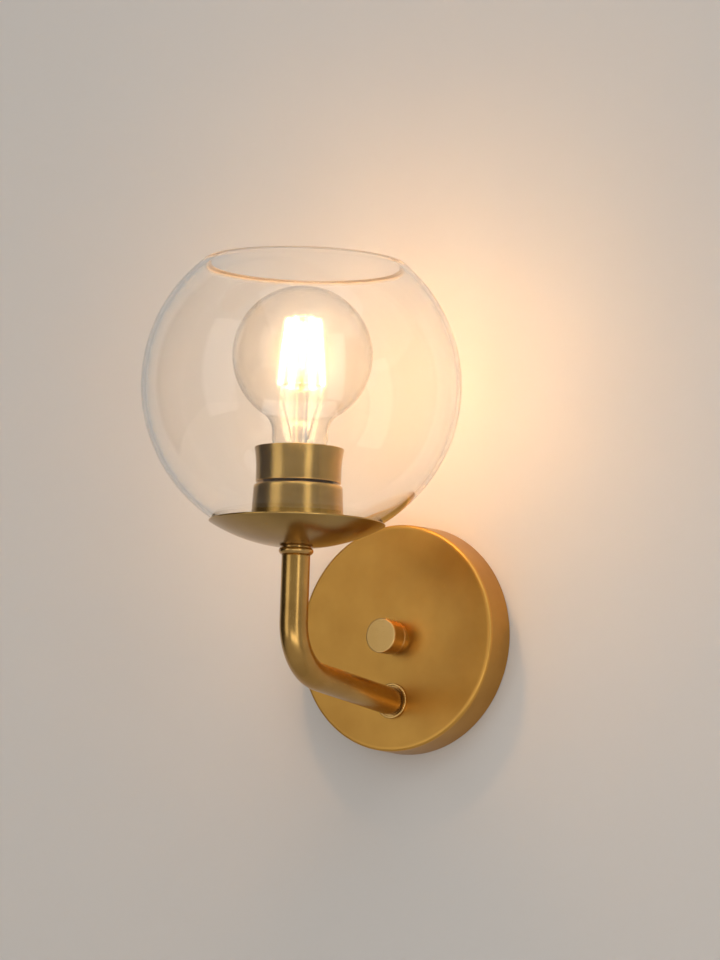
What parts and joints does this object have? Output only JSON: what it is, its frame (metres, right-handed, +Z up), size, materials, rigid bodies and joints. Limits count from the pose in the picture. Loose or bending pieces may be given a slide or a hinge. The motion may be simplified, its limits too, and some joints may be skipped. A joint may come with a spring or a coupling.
{
  "type": "globe wall sconce",
  "caption": "Wall light with a round brass backplate, a bent tube arm, and a clear open glass globe round a standing screw lamp on a shallow dish.",
  "frame": {"origin": "middle of the backplate's back, on the wall, between the crossbar's two slots", "axes": "+Z up along the arm's upright and the globe's axis; the light stands out of the wall along -Y; +Y goes into the wall; +X to the right as seen from the room"},
  "size_m": [0.18, 0.2114, 0.268],
  "materials": {
    "brass_plate": "satin antique, lacquered",
    "brass_tube": "satin antique, brushed along the tube",
    "brass_dish": "satin antique, spun",
    "brass_cup": "brushed round the cup",
    "raw_brass": "bright, as turned",
    "zinc_steel": "zinc plated",
    "green_steel": "green plated",
    "nickel": "nickel plated",
    "silicone": "matte translucent",
    "globe_glass": "clear, polished",
    "lamp_glass": "clear, polished",
    "phenolic": "moulded, slight sheen",
    "cap_nickel": "rolled thread, nickel plated",
    "solder": "dull solder",
    "black_glass": "black glass",
    "board": "circuit board",
    "phosphor": "phosphor coated, glowing warm white",
    "black_wire": "smooth insulation",
    "white_wire": "smooth insulation",
    "green_wire": "smooth insulation",
    "connector_plastic": "moulded"
  },
  "bodies": {
    "fixture": {"canopy": "brass_plate", "knob_collar": "brass_plate", "arm_tube": "brass_tube", "arm_foot_ring": "brass_tube", "bead_collar": "brass_tube", "glass_dish": "brass_dish", "crossbar": "zinc_steel", "stud_lock_nut": "zinc_steel", "canopy_stud": "zinc_steel", "arm_nipple": "zinc_steel", "arm_lock_washer": "zinc_steel", "arm_lock_nut": "zinc_steel", "top_nipple": "zinc_steel", "dish_washer": "zinc_steel", "dish_lock_nut": "zinc_steel", "ground_screw": "green_steel", "arm_end_bushes": "raw_brass", "socket_screw_shell": "raw_brass", "socket_contact": "raw_brass", "hot_terminal": "raw_brass", "neutral_terminal": "nickel", "terminal_screws": "nickel", "lower_gasket": "silicone", "upper_gasket": "silicone", "glass_globe": "globe_glass", "socket_cap": "phenolic", "socket_body": "phenolic", "hot_wire": "black_wire", "neutral_wire": "white_wire", "ground_wire": "green_wire", "wire_connectors": "connector_plastic"},
    "knob": {"cap_knob": "brass_plate"},
    "retaining_cup": {"glass_retaining_cup": "brass_cup"},
    "shroud_cup": {"socket_shroud_cup": "brass_cup"},
    "lamp": {"lamp_glass": "lamp_glass", "lamp_screw_cap": "cap_nickel", "lamp_insulator": "black_glass", "lamp_contact": "solder", "lamp_driver": "board", "lamp_stem": "lamp_glass", "led_filaments": "phosphor", "filament_anchor": "nickel", "filament_leads": "nickel"}
  },
  "joints": [
    {"name": "knob_unscrew", "type": "hinge", "parent": "fixture", "child": "knob", "pos_m": [0, -0.028, 0], "axis": [0, -1, 0], "range_deg": [0, 3060]},
    {"name": "lower_cup_unscrew", "type": "hinge", "parent": "fixture", "child": "retaining_cup", "pos_m": [0, -0.1214, 0.0628], "axis": [0, 0, 1], "range_deg": [0, 255]},
    {"name": "upper_cup_unscrew", "type": "hinge", "parent": "fixture", "child": "shroud_cup", "pos_m": [0, -0.1214, 0.0875], "axis": [0, 0, 1], "range_deg": [0, 2160]},
    {"name": "lamp_unscrew", "type": "hinge", "parent": "fixture", "child": "lamp", "pos_m": [0, -0.1214, 0.0957], "axis": [0, 0, 1], "range_deg": [0, 1440]}
  ]
}
